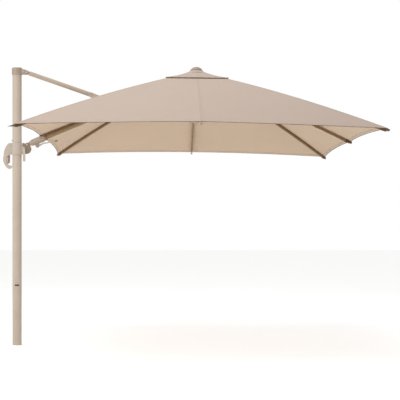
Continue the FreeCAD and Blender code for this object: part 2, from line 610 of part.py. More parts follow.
def make_vent_canopy():
    middle_sink, corner_sink = 9.0, 12.0  # how far the tier's lines hang below straight
    tier = []
    for azimuth in range(0, 360, 45):
        curves = []
        for angle in (azimuth, azimuth + 45):
            square_on = angle % 90 == 0
            reach = VENT_HALF if square_on else VENT_HALF * math.sqrt(2)
            middle_z = (VENT_EDGE_Z + VENT_TOP_Z) / 2 - (middle_sink if square_on else corner_sink)
            points = [V(VENT_COLLAR, 0, VENT_TOP_Z), V((VENT_COLLAR + reach) / 2, 0, middle_z),
                      V(reach, 0, VENT_EDGE_Z)]
            curves.append(about_crown(Part.Arc(*points).toShape(), angle % 360))
        face = Part.makeRuledSurface(*curves)
        tier.append(face.extrude(V(0, 0, -VENT_CLOTH)))
    vent = tier[0].fuse(tier[1:])
    save("vent_canopy", vent.removeSplitter())


def tilt_canopy():
    """Everything that hangs on the crown leans a little about the hinge at the boom's end."""
    on_crown = ("crown_hub", "hub_pins", "finial", "canopy", "vent_canopy")
    for name, shape in NODES.items():
        if name in on_crown or name.startswith(("rib_", "stretcher_", "runner")):
            shape.rotate(CROWN_HINGE, ACROSS, CANOPY_TILT)


make_mast()
make_strut()
TILT_LEVER_PIVOT = make_boom_carrier()
make_tilt_lever(TILT_LEVER_PIVOT)
TRIGGER_PIVOT, CLAMP_PIVOT = make_slider()
make_boom()
make_crown()
make_ribs()
make_stretchers()
make_runner()
make_canopy()
make_vent_canopy()
tilt_canopy()

os.makedirs("parts", exist_ok=True)
for node_name, shape in NODES.items():
    shape.exportStep("parts/" + node_name + ".step")
    print(node_name, len(shape.Solids), shape.isValid(), round(shape.Volume / 1000, 1), "cm3")
print(len(NODES), "nodes")
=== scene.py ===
import json
import math

import bpy
import numpy as np
from mathutils import Matrix, Vector
from mathutils.bvhtree import BVHTree


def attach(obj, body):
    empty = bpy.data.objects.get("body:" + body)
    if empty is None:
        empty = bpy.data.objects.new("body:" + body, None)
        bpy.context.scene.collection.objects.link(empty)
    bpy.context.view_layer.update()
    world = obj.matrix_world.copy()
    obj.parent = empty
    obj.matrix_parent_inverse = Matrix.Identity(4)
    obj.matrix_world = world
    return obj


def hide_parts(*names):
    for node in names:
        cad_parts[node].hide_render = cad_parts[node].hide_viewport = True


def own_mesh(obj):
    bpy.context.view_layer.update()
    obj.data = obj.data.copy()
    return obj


# Cantilever parasol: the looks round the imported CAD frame. Metres, +Z up, +X from the mast to the canopy.

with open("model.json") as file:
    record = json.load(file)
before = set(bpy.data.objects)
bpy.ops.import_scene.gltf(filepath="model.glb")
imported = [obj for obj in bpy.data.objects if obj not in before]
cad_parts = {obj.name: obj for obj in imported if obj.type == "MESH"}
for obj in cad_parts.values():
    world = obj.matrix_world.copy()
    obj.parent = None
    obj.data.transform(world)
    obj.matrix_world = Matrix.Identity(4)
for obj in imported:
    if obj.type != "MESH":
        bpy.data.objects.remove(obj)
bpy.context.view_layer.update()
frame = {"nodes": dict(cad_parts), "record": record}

# ---- the cloth's lines, as the CAD solids have them, before the canopy leans ----
SQUARE = math.sqrt(2)
CROWN_X, HALF_SIDE = 1.724, 1.5
APEX_Z = 2.630  # where the canopy's lines would meet
CORNER_TIP_Z, MIDDLE_TIP_Z = 1.944, 1.981
CORNER_BOW, MIDDLE_BOW = 0.031, 0.018
COVER_SLOPE, COVER_TIP_X, COVER_TIP_Z = 0.40, CROWN_X - HALF_SIDE, 2.0193  # the cloth over the boom
VENT_HOLE = 0.180  # radius of the opening at the top of the main canopy
HEM_SCALLOP = 0.030
SLOT_FROM, SLOT_TO, SLOT_HALF = 0.905, 1.390, 0.050  # where the strut passes through
VENT_HALF, VENT_TOP_R, VENT_TOP_Z, VENT_EDGE_Z = 0.295, 0.052, 2.636, 2.529
VENT_CAP_R, VENT_INNER_R = 0.104, 0.066  # the round cap, and the tier's inner edge under it
VENT_SINK_MIDDLE, VENT_SINK_CORNER = 0.009, 0.012

CLOTH_THICK = 0.0016
HEM_WIDTH, HEM_THICK = 0.026, 0.0034
SEAM_HALF, SEAM_RAISE = 0.008, 0.0004
EDGE_STEP = 0.0012  # the width over which a doubled edge or seam thins out
SAG_SHARE = 0.0055  # sag of a panel's middle, as a share of its width
RIPPLE_HIGH, RIPPLE_RATE, RIPPLE_FADE = 0.0014, 95, 0.16  # pull marks beside the corner ribs
STITCH_PITCH, WEAVE_PITCH = 0.0042, 0.0011
SLOPE_SHARE = 1.09  # cloth area over plan area
LENGTH_SHARE = 1.06  # cloth length along a rib over its plan length

# ---- the canopy leans a little about the hinge at the boom's end ----
CROWN_HINGE = Matrix.Translation((1.679, 0, 2.57321))
LEAN_DEGREES = 0.7
LEAN = CROWN_HINGE @ Matrix.Rotation(math.radians(LEAN_DEGREES), 4, "Y") @ CROWN_HINGE.inverted()
UPRIGHT = LEAN.inverted()
LEAN_TURN = LEAN.to_3x3()

BODIES = {
    0: "rib_right", 45: "rib_back_right", 90: "rib_back", 135: "rib_back_left",
    180: "boom", 225: "rib_front_left", 270: "rib_front", 315: "rib_front_right",
}
SIDES = {
    0: "right", 45: "back_right", 90: "back", 135: "back_left",
    180: "mast_side", 225: "front_left", 270: "front", 315: "front_right",
}
RIBS = [azimuth for azimuth in BODIES if azimuth != 180]
FLOOR_REACH = 40.0
FLOOR_GLOW = 0.38  # keeps the studio floor near white
FILL_LIGHT = 0.62  # strength of the soft light from all round
CAMERA_AT = Vector((1.442, -9.04, 1.119))
CAMERA_LENS = 84.6
CAMERA_SHIFT = (0.0825, 0.0717)


# ---- colours ----
def srgb(code):
    """Linear colour of a six-digit screen colour."""
    values = [int(code[i:i + 2], 16) / 255 for i in (0, 2, 4)]
    return [v / 12.92 if v <= 0.04045 else ((v + 0.055) / 1.055) ** 2.4 for v in values] + [1.0]


def shaded(colour, factor):
    return [c * factor for c in colour[:3]] + [1.0]


CLOTH_TOP = srgb("BBAA9D")
# the cloth's underside is painted lighter than its top: painted light shining through the cloth and bounced
# up from the floor
CLOTH_UNDER_LIT = srgb("EBD9C2")
THREAD = srgb("B9A795")
WEBBING = srgb("604832")
TIE = srgb("8A6F50")
POCKET_CLOTH = srgb("CDB79A")
# colour of the painted shadow along the hem's rim
HEM_SHADOW = srgb("4F3E2E")
PAINT = srgb("B4A697")
# the frame paint made darker for the strut: painted shade
STRUT_PAINT_SHADED = srgb("AC9C8B")
SHADED_PAINT = srgb("8B7252")
CASTING = srgb("9B8B7A")
FINIAL = srgb("9E8B7A")
PRIMER = srgb("DDD2C2")
# the ribs' paint darkened to brown: painted shade from the canopy above
RIB_PAINT_SHADED = srgb("80613F")
STEEL = srgb("B9B4AC")
DARK = srgb("35302E")
SHELL = srgb("B3A698")
BRACKET = srgb("806E56")
TRIGGER = srgb("8F7366")
KNOB = srgb("8F7A64")
KNOB_WORN = srgb("A8957F")
DARK_WORN = srgb("7A6A5B")
TRIGGER_WORN = srgb("C0A595")
GLIDE_WORN = srgb("E6DED3")
GLIDE = srgb("D8CFC2")


# ---- node materials ----
class Shader:
    """A small builder for one node material."""

    def __init__(self, name):
        self.material = bpy.data.materials.new(name)
        self.material.use_nodes = True
        self.tree = self.material.node_tree
        self.tree.nodes.clear()
        self.output = self.add("OutputMaterial")

    def add(self, kind, sockets=None, **settings):
        node = self.tree.nodes.new("ShaderNode" + kind)
        for key, value in settings.items():
            setattr(node, key, value)
        for key, value in (sockets or {}).items():
            self.feed(node.inputs[key], value)
        return node

    def feed(self, socket, value):
        if isinstance(value, bpy.types.NodeSocket):
            self.tree.links.new(value, socket)
        else:
            socket.default_value = value

    def math(self, operation, *values):
        node = self.add("Math", operation=operation)
        for socket, value in zip(node.inputs, values):
            self.feed(socket, value)
        return node.outputs[0]

    def ramp(self, value, low, high, out_low=0.0, out_high=1.0):
        node = self.add("MapRange", {
            "Value": value, "From Min": low, "From Max": high,
            "To Min": out_low, "To Max": out_high,
        }, interpolation_type="SMOOTHSTEP")
        return node.outputs["Result"]

    def mix(self, factor, first, second):
        node = self.add("Mix", data_type="RGBA")
        self.feed(node.inputs[0], factor)
        self.feed(node.inputs[6], first)
        self.feed(node.inputs[7], second)
        return node.outputs[2]

    def stretched(self, vector, scale):
        node = self.add("VectorMath", {0: vector, 1: scale}, operation="MULTIPLY")
        return node.outputs[0]

    def noise(self, vector, scale, detail=3.0):
        node = self.add("TexNoise", {"Vector": vector, "Scale": scale, "Detail": detail})
        return node.outputs["Fac"]

    def attribute(self, name):
        return self.add("Attribute", attribute_name=name).outputs["Fac"]

    def bump(self, height, depth, strength=1.0):
        node = self.add("Bump", {"Height": height, "Distance": depth, "Strength": strength})
        return node.outputs["Normal"]

    def show(self, socket):
        self.tree.links.new(socket, self.output.inputs["Surface"])
        return self.material


def principled(shader, colour, roughness, normal, metallic=0.0, **extra):
    sockets = {"Base Color": colour, "Roughness": roughness, "Normal": normal, "Metallic": metallic}
    sockets.update(extra)
    return shader.add("BsdfPrincipled", sockets).outputs[0]


def edge_wear(shader, radius):
    """1 on sharp edges, 0 on flat faces."""
    rounded = shader.add("Bevel", {"Radius": radius}, samples=4).outputs[0]
    normal = shader.add("NewGeometry").outputs["Normal"]
    alike = shader.add("VectorMath", {0: rounded, 1: normal}, operation="DOT_PRODUCT")
    return shader.ramp(alike.outputs["Value"], 0.99, 0.80, 0.0, 1.0)


def coated(name, colour, roughness, grain, depth, worn, wear_share):
    """Powder coat or moulded plastic: fine grain, faint streaks and clouds, lighter worn edges."""
    s = Shader(name)
    at = s.add("TexCoord").outputs["Object"]
    clouds = s.ramp(s.noise(at, 5.0), 0.3, 0.7)
    speckle = s.noise(at, grain, 2.0)
    streaks = s.noise(s.stretched(at, (70.0, 70.0, 3.0)), 1.0, 4.0)
    tone = s.mix(clouds, shaded(colour, 0.96), shaded(colour, 1.03))
    tone = s.mix(s.ramp(speckle, 0.35, 0.7, 0.0, 0.35), tone, shaded(colour, 0.88))
    tone = s.mix(s.ramp(streaks, 0.55, 0.85, 0.0, 0.30), tone, shaded(colour, 0.90))
    wear = s.math("MULTIPLY", edge_wear(s, 0.0012), s.ramp(s.noise(at, 60.0, 4.0), 0.35, 0.65))
    tone = s.mix(s.math("MULTIPLY", wear, wear_share), tone, worn)
    gloss = s.math("ADD", s.ramp(streaks, 0.3, 0.8, -0.05, 0.07), roughness)
    height = s.math("ADD", speckle, s.math("MULTIPLY", streaks, 0.4))
    return s.show(principled(s, tone, gloss, s.bump(height, depth), **{"Specular IOR Level": 0.45}))


def brushed(name, colour, roughness):
    """Bare steel with fine turned lines."""
    s = Shader(name)
    at = s.add("TexCoord").outputs["Object"]
    lines = s.noise(s.stretched(at, (900.0, 60.0, 900.0)), 1.0, 4.0)
    stains = s.ramp(s.noise(at, 90.0, 4.0), 0.45, 0.75, 0.0, 0.5)
    tone = s.mix(stains, s.mix(lines, shaded(colour, 0.85), colour), shaded(colour, 0.6))
    gloss = s.math("ADD", s.ramp(lines, 0.2, 0.8, -0.08, 0.10), roughness)
    return s.show(principled(s, tone, gloss, s.bump(lines, 0.00004), metallic=1.0))


def stitches(s, distance, along, row):
    """A row of stitches at a distance from a line: 1 on the thread."""
    away = s.math("ABSOLUTE", s.math("SUBTRACT", s.math("ABSOLUTE", distance), row))
    thread = s.ramp(away, 0.0012, 0.0005, 0.0, 1.0)
    step = s.math("FRACT", s.math("DIVIDE", along, STITCH_PITCH))
    dash = s.ramp(s.math("ABSOLUTE", s.math("SUBTRACT", step, 0.5)), 0.42, 0.30, 0.0, 1.0)
    return s.math("MULTIPLY", thread, dash)


def fabric(name, colour, through, hem_shadow=0.0):
    """Solution-dyed polyester: plain weave, slubs, sun-faded clouds, twin-stitched seams and hems.

    through is the share of light that shines through the cloth; the last argument is the strength of the
    dark hem edge, a painted shadow.
    """
    s = Shader(name)
    laid = s.add("UVMap", uv_map="weave").outputs[0]
    u, v = s.add("SeparateXYZ", {0: laid}).outputs[:2]
    wave = 2 * math.pi / WEAVE_PITCH
    warp = s.math("SINE", s.math("MULTIPLY", u, wave))
    weft = s.math("SINE", s.math("MULTIPLY", v, wave))
    weave = s.math("MULTIPLY", warp, weft)
    slub_weft = s.noise(s.stretched(laid, (9.0, 420.0, 1.0)), 1.0, 3.0)
    slub_warp = s.noise(s.stretched(laid, (420.0, 9.0, 1.0)), 1.0, 3.0)
    slubs = s.math("ADD", slub_weft, slub_warp)
    clouds = s.ramp(s.noise(laid, 2.2, 4.0), 0.3, 0.7)
    seam, along, hem = [s.attribute(a) for a in ("seam", "along", "hem")]

    tone = s.mix(clouds, shaded(colour, 0.97), shaded(colour, 1.03))
    tone = s.mix(s.ramp(slubs, 0.75, 1.35, 0.0, 0.75), shaded(colour, 1.06), tone)
    tone = s.mix(s.ramp(weave, -0.2, 0.9, 0.0, 0.22), tone, shaded(colour, 0.78))
    # painted shade: the cloth darkens along the steps at the lapped seam's edges and the doubled hem's
    # inner edge
    seam_edge = s.math("ABSOLUTE", s.math("SUBTRACT", s.math("ABSOLUTE", seam), SEAM_HALF))
    seam_step_shade = s.ramp(seam_edge, 0.0022, 0.0006, 0.0, 0.05)
    hem_step_shade = s.ramp(s.math("ABSOLUTE", s.math("SUBTRACT", hem, HEM_WIDTH)),
                      0.0030, 0.0008, 0.0, 0.20)
    tone = s.mix(s.math("MAXIMUM", seam_step_shade, hem_step_shade), tone, shaded(colour, 0.62))
    sewn = s.math("MAXIMUM", stitches(s, seam, along, SEAM_HALF - 0.0025),
                  s.math("MAXIMUM", stitches(s, hem, seam, HEM_WIDTH - 0.004),
                         stitches(s, hem, seam, 0.004)))
    tone = s.mix(sewn, tone, THREAD)
    # painted shadow: the hem's rim and its last few millimetres are darkened, scaled by the last argument
    tone = s.mix(s.ramp(hem, 0.0050, 0.0040, 0.0, hem_shadow), tone, HEM_SHADOW)
    fine = s.bump(s.math("ADD", s.math("MULTIPLY", weave, 0.5), slubs), 0.00022, 0.8)
    raised = s.add("Bump", {"Height": sewn, "Distance": 0.0006, "Normal": fine}).outputs["Normal"]
    face = principled(s, tone, 0.88, raised, **{
        "Sheen Weight": 0.12, "Sheen Roughness": 0.5, "Specular IOR Level": 0.2,
    })
    glow = s.add("BsdfTranslucent", {"Color": tone, "Normal": raised}).outputs[0]
    return s.show(s.add("MixShader", {0: through, 1: face, 2: glow}).outputs[0])


def strap_weave(name, colour):
    """Ribbed polyester webbing."""
    s = Shader(name)
    at = s.add("TexCoord").outputs["Object"]
    x, y, z = s.add("SeparateXYZ", {0: at}).outputs[:3]
    ribs = s.math("SINE", s.math("MULTIPLY", s.math("ADD", s.math("ADD", x, y), z), 3400.0))
    fluff = s.noise(at, 500.0, 3.0)
    tone = s.mix(s.ramp(ribs, -0.6, 0.8, 0.0, 0.5), shaded(colour, 1.10), shaded(colour, 0.75))
    tone = s.mix(s.ramp(fluff, 0.4, 0.7, 0.0, 0.4), tone, shaded(colour, 0.85))
    height = s.math("ADD", ribs, fluff)
    return s.show(principled(s, tone, 0.9, s.bump(height, 0.0003), **{
        "Sheen Weight": 0.15, "Specular IOR Level": 0.2,
    }))


M_CLOTH_TOP = fabric("cloth_top", CLOTH_TOP, 0.08)
# the underside materials take the lighter cloth colour: painted light
M_CLOTH_UNDER_LIT = fabric("cloth_under_lit", CLOTH_UNDER_LIT, 0.50, hem_shadow=0.95)
M_VENT_UNDER_LIT = fabric("vent_under_lit", CLOTH_UNDER_LIT, 0.50)
M_POCKET = strap_weave("pocket_cloth", POCKET_CLOTH)
M_TIE = strap_weave("tie_webbing", TIE)
M_STRAP = strap_weave("webbing", WEBBING)
M_PAINT = coated("powder_coat", PAINT, 0.46, 1400.0, 0.00016, PRIMER, 0.55)
M_STRUT_SHADED = coated("strut_coat_shaded", STRUT_PAINT_SHADED, 0.46, 1400.0, 0.00016, PRIMER, 0.50)
M_SHADED_PAINT = coated("boom_coat", SHADED_PAINT, 0.46, 1400.0, 0.00016, PRIMER, 0.40)
M_KNOB = coated("knob_moulding", KNOB, 0.5, 800.0, 0.00018, KNOB_WORN, 0.5)
M_RIB_SHADED = coated("rib_coat_shaded", RIB_PAINT_SHADED, 0.45, 1400.0, 0.00014, PRIMER, 0.35)
M_CASTING = coated("moulded_shell", CASTING, 0.52, 800.0, 0.00020, PRIMER, 0.45)
M_DARK = coated("dark_moulding", DARK, 0.55, 800.0, 0.00020, DARK_WORN, 0.5)
M_TRIGGER = coated("trigger_moulding", TRIGGER, 0.5, 800.0, 0.00018, TRIGGER_WORN, 0.5)
M_GLIDE = coated("glide_moulding", GLIDE, 0.4, 600.0, 0.00010, GLIDE_WORN, 0.5)
M_STEEL = brushed("steel", STEEL, 0.32)
M_FINIAL = coated("finial_moulding", FINIAL, 0.5, 800.0, 0.00020, PRIMER, 0.35)
M_SHELL = coated("slider_moulding", SHELL, 0.50, 800.0, 0.00020, PRIMER, 0.45)
M_BRACKET = coated("bracket_casting", BRACKET, 0.50, 800.0, 0.00020, PRIMER, 0.35)

FINISHES = {  # by the record's material slot
    "frame_paint": M_PAINT, "rib_paint": M_RIB_SHADED, "fitting_plastic": M_CASTING,
    "glide_plastic": M_GLIDE, "trigger_plastic": M_TRIGGER, "dark_plastic": M_DARK,
    "steel": M_STEEL, "canopy_cloth": M_CLOTH_TOP,
}
OWN_FINISHES = {  # nodes that look unlike the rest of their slot; the boom, the strut and the sleeve's end ring take darker copies of the paint, painted shade
    "slider_front_shell": M_SHELL, "slider_rear_shell": M_SHELL, "slider_grip": M_SHELL,
    "clamp_lever": M_SHELL, "slider_bracket": M_BRACKET, "boom_tube": M_SHADED_PAINT,
    "strut_tube": M_STRUT_SHADED, "sleeve_end_ring": M_RIB_SHADED, "tilt_lever_knob": M_KNOB,
}


# ---- the cloth's shape ----
class Arc:
    """A line of the cloth in the plane of one rib: height over radius, bowed from straight."""

    def __init__(self, start_r, start_z, end_r, end_z, bow):
        run, drop = end_r - start_r, start_z - end_z
        length = math.hypot(run, drop)
        self.radius = length ** 2 / (8 * abs(bow)) + abs(bow) / 2
        self.side = 1 if bow > 0 else -1
        back = (self.radius - abs(bow)) * self.side
        self.centre_r = (start_r + end_r) / 2 - drop / length * back
        self.centre_z = (start_z + end_z) / 2 - run / length * back

    def z(self, r):
        return self.centre_z + self.side * np.sqrt(self.radius ** 2 - (r - self.centre_r) ** 2)


class Slope:
    """A straight line of the cloth."""

    def __init__(self, end_r, end_z, slope):
        self.end_r, self.end_z, self.slope = end_r, end_z, slope

    def z(self, r):
        return self.end_z + self.slope * (self.end_r - r)


class Tier:
    """One tier of the canopy: eight lines from an inner radius to the tips."""

    def __init__(self, inner, half, lines, scallop, hem_width, finishes):
        self.inner, self.half, self.lines = inner, half, lines
        self.scallop, self.hem_width, self.finishes = scallop, hem_width, finishes

    def reach(self, azimuth):
        return self.half * (SQUARE if azimuth % 90 else 1)

    def on_line(self, azimuth, t):
        azimuth %= 360
        r = self.inner + (self.reach(azimuth) - self.inner) * t
        angle = math.radians(azimuth)
        return np.stack([CROWN_X + r * math.cos(angle), r * math.sin(angle),
                         self.lines[azimuth].z(r)], axis=-1)

    def surface(self, azimuth, neighbour, s, t):
        """Points between two lines: s runs from azimuth to neighbour, t from inside to the tips."""
        first, second = self.on_line(azimuth, t), self.on_line(neighbour, t)
        points = first + (second - first) * s[..., None]
        width = np.linalg.norm(second - first, axis=-1)
        ripple = 0.0
        for side, share in ((azimuth, s), (neighbour, 1 - s)):
            if side % 90:
                away = share * width
                fade = np.exp(-away / RIPPLE_FADE) * t ** 3
                ripple = ripple + RIPPLE_HIGH * np.sin(away * RIPPLE_RATE) * fade
        points[..., 2] -= width * SAG_SHARE * np.sin(math.pi * s) + ripple
        return points

    def hem_t(self, s):
        """Where the hem lies: it is drawn in between the tips."""
        return 1 - self.scallop * 4 * s * (1 - s) / (self.half - self.inner)


def rib_lines():
    corner = Arc(0, APEX_Z, HALF_SIDE * SQUARE, CORNER_TIP_Z, CORNER_BOW)
    middle = Arc(0, APEX_Z, HALF_SIDE, MIDDLE_TIP_Z, MIDDLE_BOW)
    lines = {a: corner if a % 90 else middle for a in BODIES}
    outer, inner = [UPRIGHT @ Vector((x, 0, COVER_TIP_Z + COVER_SLOPE * (x - COVER_TIP_X)))
                    for x in (COVER_TIP_X, CROWN_X)]
    slope = (inner.z - outer.z) / (inner.x - outer.x)
    lines[180] = Slope(CROWN_X - outer.x, outer.z, slope)
    return lines


def vent_lines():
    middle = Arc(VENT_TOP_R, VENT_TOP_Z, VENT_HALF, VENT_EDGE_Z, -VENT_SINK_MIDDLE)
    corner = Arc(VENT_TOP_R, VENT_TOP_Z, VENT_HALF * SQUARE, VENT_EDGE_Z, -VENT_SINK_CORNER)
    return {a: corner if a % 90 else middle for a in BODIES}


MAIN = Tier(VENT_HOLE, HALF_SIDE, rib_lines(), HEM_SCALLOP, HEM_WIDTH, [M_CLOTH_TOP, M_CLOTH_UNDER_LIT])
VENT = Tier(VENT_INNER_R, VENT_HALF, vent_lines(), 0.005, HEM_WIDTH / 2, [M_CLOTH_TOP, M_VENT_UNDER_LIT])


def new_piece(name, vertices, faces, materials, body):
    """A smooth-shaded mesh object that leans with the canopy and moves with one CAD body."""
    mesh = bpy.data.meshes.new(name)
    mesh.from_pydata([LEAN @ Vector(v) for v in vertices], [], faces)
    for material in materials:
        mesh.materials.append(material)
    mesh.polygons.foreach_set("use_smooth", [True] * len(mesh.polygons))
    mesh.set_sharp_from_angle(angle=math.radians(38))
    mesh.update()
    piece = bpy.data.objects.new(name, mesh)
    bpy.context.scene.collection.objects.link(piece)
    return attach(piece, body)


def lateral(azimuth):
    angle = math.radians(azimuth)
    return Vector((-math.sin(angle), math.cos(angle), 0))


def outward(azimuth):
    angle = math.radians(azimuth)
    return Vector((math.cos(angle), math.sin(angle), 0))


def column(tier, azimuth, neighbour, distance, rows):
    """One line of cloth points from the inner edge to the hem, at a distance across from the rib's line.

    distance is a function of the width between the two ribs' lines there. Returns the points, their
    distance across, their distance down the rib and their distance from the hem.
    """
    length = tier.half - tier.inner

    def across(t):
        width = np.linalg.norm(tier.on_line(azimuth, t) - tier.on_line(neighbour, t), axis=-1)
        return distance(width), width

    at_hem, hem_gap = across(np.array([1.0]))
    edge = float(tier.hem_t(at_hem / hem_gap)[0])
    from_hem = np.array([HEM_WIDTH + EDGE_STEP, HEM_WIDTH, HEM_WIDTH / 2, 0.0008, 0.0])
    from_hem = from_hem * (tier.hem_width / HEM_WIDTH)
    inside = np.linspace(0, 1, rows) * (edge - from_hem[0] / length)
    t = np.concatenate([inside, edge - from_hem[1:] / length])
    away, width = across(t)
    points = tier.surface(azimuth, neighbour, away / width, t)
    return points, away, t * tier.reach(azimuth), (edge - t) * length


def sheet_grid(tier, azimuth, spans, rows):
    """Columns of cloth points side by side; spans is a list of (neighbour, distance function)."""
    made = [column(tier, azimuth, neighbour, distance, rows) for neighbour, distance in spans]
    return [np.array(part) for part in zip(*made)]


def cloth_mesh(name, tier, azimuth, spans, rows, body):
    """A thin closed sheet with doubled hems, raised seams, a woven layout and stitch distances."""
    points, away, along, hem = sheet_grid(tier, azimuth, spans, rows)
    columns, count = points.shape[:2]
    normal = np.cross(np.gradient(points, axis=0), np.gradient(points, axis=1))
    normal /= np.linalg.norm(normal, axis=-1, keepdims=True)
    flip = 1 if normal[columns // 2, count // 2, 2] > 0 else -1
    normal *= flip
    doubled = np.where(hem <= tier.hem_width + 1e-6, HEM_THICK - CLOTH_THICK, 0.0)
    lapped = np.where(away <= SEAM_HALF + 1e-6, SEAM_RAISE, 0.0)
    upper = points + normal * (lapped * 0.6)[..., None]
    lower = points - normal * (CLOTH_THICK + doubled + lapped)[..., None]
    vertices = np.concatenate([upper.reshape(-1, 3), lower.reshape(-1, 3)])
    below = columns * count

    def corner(c, r, layer=0):
        return layer * below + c * count + r

    faces, lower_face, face_side = [], [], []
    for c in range(columns - 1):
        side = spans[c][0]
        for r in range(count - 1):
            quad = [(c, r), (c + 1, r), (c + 1, r + 1), (c, r + 1)]
            if flip < 0:
                quad.reverse()
            faces.append([corner(*q) for q in quad])
            faces.append([corner(*q, 1) for q in reversed(quad)])
            lower_face += [0, 1]
            face_side += [side, side]
    rim = [(c, 0) for c in range(columns)] + [(columns - 1, r) for r in range(1, count)]
    rim += [(c, count - 1) for c in range(columns - 2, -1, -1)]
    rim += [(0, r) for r in range(count - 2, 0, -1)]
    for first, last in zip(rim, rim[1:] + rim[:1]):
        wall = [corner(*last), corner(*first), corner(*first, 1), corner(*last, 1)]
        if flip < 0:
            wall.reverse()
        faces.append(wall)
        lower_face.append(1)
        face_side.append(spans[first[0]][0])
    piece = new_piece(name, vertices, faces, tier.finishes, body)
    mesh = piece.data
    mesh.polygons.foreach_set("material_index", lower_face)
    for label, values in (("seam", away), ("along", along), ("hem", hem)):
        stored = mesh.attributes.new(label, "FLOAT", "POINT")
        stored.data.foreach_set("value", np.tile(values.ravel(), 2).astype(np.float32))
    woven = mesh.uv_layers.new(name="weave")
    for polygon, side in zip(mesh.polygons, face_side):
        base = azimuth if side % 90 else side
        width_way, length_way = lateral(base), outward(base)
        for loop in polygon.loop_indices:
            place = mesh.vertices[mesh.loops[loop].vertex_index].co - Vector((CROWN_X, 0, 0))
            woven.data[loop].uv = (place.dot(width_way), place.dot(length_way) * SLOPE_SHARE)
    return piece


SEAM_COLUMNS = (0.004, SEAM_HALF, SEAM_HALF + EDGE_STEP)  # distances from a rib's line


def fixed(metres):
    """A column at one distance from the rib's line, whatever the width between the ribs."""
    return lambda width: np.full_like(width, metres)


def kite_spans(azimuth, count):
    """Columns from mid-panel on one side, over the rib's seam, to mid-panel on the other."""
    inner = SEAM_COLUMNS[-1]

    def spread(share):
        return lambda width: inner + (width * 0.5 - inner) * share

    one_side = [fixed(m) for m in SEAM_COLUMNS]
    one_side += [spread(q) for q in np.linspace(0, 1, count + 1)[1:]]
    left, right = (azimuth - 45) % 360, (azimuth + 45) % 360
    spans = [(left, d) for d in reversed(one_side)] + [(right, fixed(0.0))]
    return spans + [(right, d) for d in one_side]


STRIP_HALF = 0.07  # the cloth that keeps its width over the boom, round the strut's slot


def kite(name, tier, azimuth, count, rows, node):
    """The cloth that one rib carries, from mid-panel to mid-panel."""
    piece = cloth_mesh(name, tier, azimuth, kite_spans(azimuth, count), rows, BODIES[azimuth])
    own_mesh(piece)
    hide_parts(node)
    long = tier.reach(azimuth) * LENGTH_SHARE
    return piece


# ---- main canopy ----
for azimuth in RIBS:
    kite("canopy_" + SIDES[azimuth], MAIN, azimuth, 14, 40, "canopy")


def strip_edge(width):
    """How far from the boom's line the middle strip ends."""
    return np.minimum(STRIP_HALF, width * 0.4)


def mast_side_cloth():
    """The cloth over the boom: a middle strip for the strut's slot, and a wing each side."""
    inner = SEAM_COLUMNS[-1]

    def strip(share):
        return lambda width: inner + (strip_edge(width) - inner) * share

    def wing(share):
        return lambda width: strip_edge(width) + (width * 0.5 - strip_edge(width)) * share

    one_side = [fixed(m) for m in SEAM_COLUMNS] + [strip(q) for q in np.linspace(0, 1, 7)[1:]]
    spans = [(135, d) for d in reversed(one_side)] + [(225, fixed(0.0))]
    spans += [(225, d) for d in one_side]
    middle = cloth_mesh("canopy_mast_side", MAIN, 180, spans, 60, "boom")
    pieces = [middle]
    for neighbour, side in ((135, 1), (225, -1)):
        shares = np.linspace(0, 1, 13)
        spans = [(neighbour, wing(q)) for q in (shares if side < 0 else shares[::-1])]
        name = "canopy_mast_side_" + ("back" if side > 0 else "front")
        part = cloth_mesh(name, MAIN, 180, spans, 40, "boom")
        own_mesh(part)
        pieces.append(part)
    for part in pieces:
        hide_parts("canopy")
    return middle


def slot_outline(half, steps=14):
    """The slot's outline in plan, round at both ends."""
    outline = []
    for centre, start in ((SLOT_TO, -90), (SLOT_FROM, 90)):
        for k in range(steps + 1):
            angle = math.radians(start + 180 * k / steps)
            outline.append((centre + half * math.cos(angle), half * math.sin(angle)))
    return outline


def cut_slot(piece):
    """Cuts the strut's slot through a piece of cloth."""
    outline = slot_outline(SLOT_HALF)
    low, high, count = CORNER_TIP_Z, APEX_Z, len(outline)
    vertices = [LEAN @ Vector((x, y, z)) for z in (low, high) for x, y in outline]
    faces = [list(range(count))[::-1], list(range(count, 2 * count))]
    faces += [[k, (k + 1) % count, count + (k + 1) % count, count + k] for k in range(count)]
    mesh = bpy.data.meshes.new("slot_cutter")
    mesh.from_pydata(vertices, [], faces)
    cutter = bpy.data.objects.new("slot_cutter", mesh)
    bpy.context.scene.collection.objects.link(cutter)
    modifier = piece.modifiers.new("slot", "BOOLEAN")
    modifier.operation, modifier.object, modifier.solver = "DIFFERENCE", cutter, "EXACT"
    graph = bpy.context.evaluated_depsgraph_get()
    made = bpy.data.meshes.new_from_object(piece.evaluated_get(graph),
                                           preserve_all_data_layers=True, depsgraph=graph)
    piece.modifiers.clear()
    piece.data = made
    bpy.data.objects.remove(cutter)


def ring_faces(rings, count, base=0, closed=False):
    """Faces of a skin through rings of count points, capped at both ends unless it closes on itself."""
    faces = []
    for k in range(rings if closed else rings - 1):
        here, there = base + k * count, base + (k + 1) % rings * count
        for j in range(count):
            i = (j + 1) % count
            faces.append([here + j, here + i, there + i, there + j])
    if not closed:
        faces.append([base + j for j in reversed(range(count))])
        faces.append([base + (rings - 1) * count + j for j in range(count)])
    return faces


def loft(name, rings, material, body, closed=False):
    """A skin through rings of points."""
    vertices = [point for ring in rings for point in ring]
    faces = ring_faces(len(rings), len(rings[0]), closed=closed)
    return new_piece(name, vertices, faces, [material], body)


def rounded(half_x, half_y, power=4.0, count=20):
    """A rounded rectangle, as (x, y) points."""
    points = []
    for k in range(count):
        angle = 2 * math.pi * k / count
        c, s = math.cos(angle), math.sin(angle)
        points.append((half_x * math.copysign(abs(c) ** (2 / power), c),
                       half_y * math.copysign(abs(s) ** (2 / power), s)))
    return points


